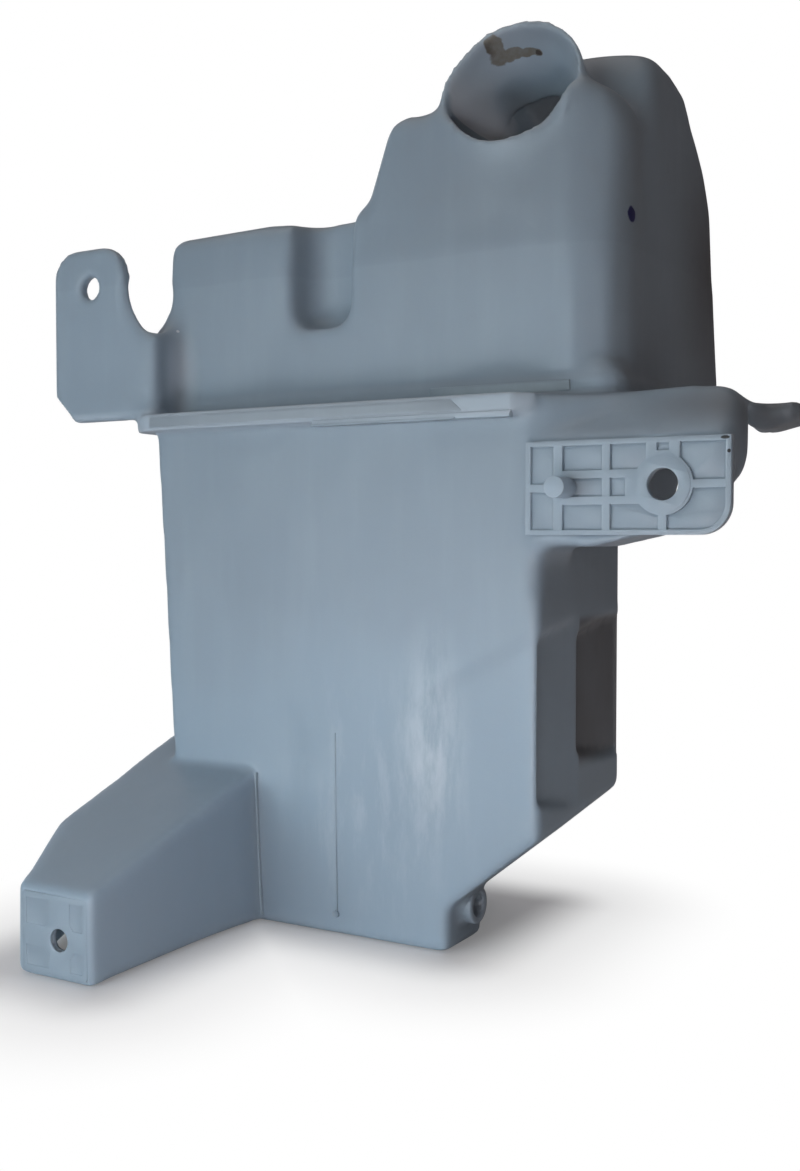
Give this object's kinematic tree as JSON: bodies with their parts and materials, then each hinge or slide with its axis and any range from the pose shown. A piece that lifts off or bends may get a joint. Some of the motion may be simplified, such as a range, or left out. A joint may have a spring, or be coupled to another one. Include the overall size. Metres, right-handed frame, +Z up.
{
  "type": "washer fluid reservoir",
  "caption": "Hollow moulded tank for screen washer fluid with a slanted filler mouth, seam flange, bolting lugs, ribbed bracket plate, hollow foot and pump port.",
  "frame": {"origin": "middle of the footprint, on the plane of the sump's underside", "axes": "+Z up as fitted, -Y out of the faces that are bolted to the vehicle, +X towards the ribbed bracket plate"},
  "size_m": [0.269, 0.2144, 0.303],
  "materials": {
    "milky_polyethylene": "milky, half matt, as moulded"
  },
  "bodies": {
    "root": {"reservoir_tank": "milky_polyethylene"}
  },
  "joints": []
}
